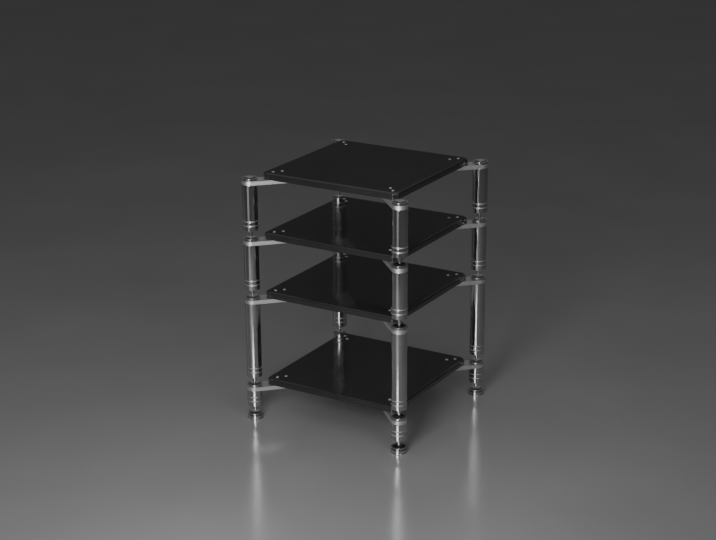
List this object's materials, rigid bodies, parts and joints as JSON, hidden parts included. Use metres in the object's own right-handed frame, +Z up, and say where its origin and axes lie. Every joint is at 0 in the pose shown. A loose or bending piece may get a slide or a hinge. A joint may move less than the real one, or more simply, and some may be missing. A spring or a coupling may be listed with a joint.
{
  "type": "audio equipment rack",
  "caption": "Open audio rack of stacked tiers: gloss black shelves on flat arms between mirror-bright round columns, each on a spike standing in the dished cap below.",
  "frame": {"origin": "on the floor, at the centre of the four columns", "axes": "+Z up, the front faces -Y, +X to the right seen from the front"},
  "size_m": [0.68, 0.68, 0.9554],
  "materials": {
    "shelf_lacquer": "black high-gloss lacquer",
    "polished_metal": "mirror polished",
    "satin_metal": "fine satin",
    "spike_metal": "bright turned"
  },
  "bodies": {
    "base_tier": {"base_shelf": "shelf_lacquer", "base_arm_front_left": "satin_metal", "base_column_front_left": "polished_metal", "base_arm_front_right": "satin_metal", "base_column_front_right": "polished_metal", "base_arm_back_right": "satin_metal", "base_column_back_right": "polished_metal", "base_arm_back_left": "satin_metal", "base_column_back_left": "polished_metal"},
    "lower_tier": {"lower_shelf": "shelf_lacquer", "lower_arm_front_left": "satin_metal", "lower_column_front_left": "polished_metal", "lower_spike_front_left": "spike_metal", "lower_arm_front_right": "satin_metal", "lower_column_front_right": "polished_metal", "lower_spike_front_right": "spike_metal", "lower_arm_back_right": "satin_metal", "lower_column_back_right": "polished_metal", "lower_spike_back_right": "spike_metal", "lower_arm_back_left": "satin_metal", "lower_column_back_left": "polished_metal", "lower_spike_back_left": "spike_metal"},
    "upper_tier": {"upper_shelf": "shelf_lacquer", "upper_arm_front_left": "satin_metal", "upper_column_front_left": "polished_metal", "upper_spike_front_left": "spike_metal", "upper_arm_front_right": "satin_metal", "upper_column_front_right": "polished_metal", "upper_spike_front_right": "spike_metal", "upper_arm_back_right": "satin_metal", "upper_column_back_right": "polished_metal", "upper_spike_back_right": "spike_metal", "upper_arm_back_left": "satin_metal", "upper_column_back_left": "polished_metal", "upper_spike_back_left": "spike_metal"},
    "top_tier": {"top_shelf": "shelf_lacquer", "top_arm_front_left": "satin_metal", "top_column_front_left": "polished_metal", "top_spike_front_left": "spike_metal", "top_arm_front_right": "satin_metal", "top_column_front_right": "polished_metal", "top_spike_front_right": "spike_metal", "top_arm_back_right": "satin_metal", "top_column_back_right": "polished_metal", "top_spike_back_right": "spike_metal", "top_arm_back_left": "satin_metal", "top_column_back_left": "polished_metal", "top_spike_back_left": "spike_metal"},
    "foot_front_left": {"base_spike_front_left": "spike_metal", "floor_disc_front_left": "polished_metal"},
    "foot_front_right": {"base_spike_front_right": "spike_metal", "floor_disc_front_right": "polished_metal"},
    "foot_back_right": {"base_spike_back_right": "spike_metal", "floor_disc_back_right": "polished_metal"},
    "foot_back_left": {"base_spike_back_left": "spike_metal", "floor_disc_back_left": "polished_metal"}
  },
  "joints": [
    {"name": "lower_tier_lift", "type": "slide", "parent": "base_tier", "child": "lower_tier", "axis": [0, 0, 1], "range_m": [0, 0.06]},
    {"name": "upper_tier_lift", "type": "slide", "parent": "lower_tier", "child": "upper_tier", "axis": [0, 0, 1], "range_m": [0, 0.06]},
    {"name": "top_tier_lift", "type": "slide", "parent": "upper_tier", "child": "top_tier", "axis": [0, 0, 1], "range_m": [0, 0.06]},
    {"name": "foot_screw_front_left", "type": "slide", "parent": "base_tier", "child": "foot_front_left", "axis": [0, 0, -1], "range_m": [0, 0.012]},
    {"name": "foot_screw_front_right", "type": "slide", "parent": "base_tier", "child": "foot_front_right", "axis": [0, 0, -1], "range_m": [0, 0.012]},
    {"name": "foot_screw_back_right", "type": "slide", "parent": "base_tier", "child": "foot_back_right", "axis": [0, 0, -1], "range_m": [0, 0.012]},
    {"name": "foot_screw_back_left", "type": "slide", "parent": "base_tier", "child": "foot_back_left", "axis": [0, 0, -1], "range_m": [0, 0.012]}
  ]
}
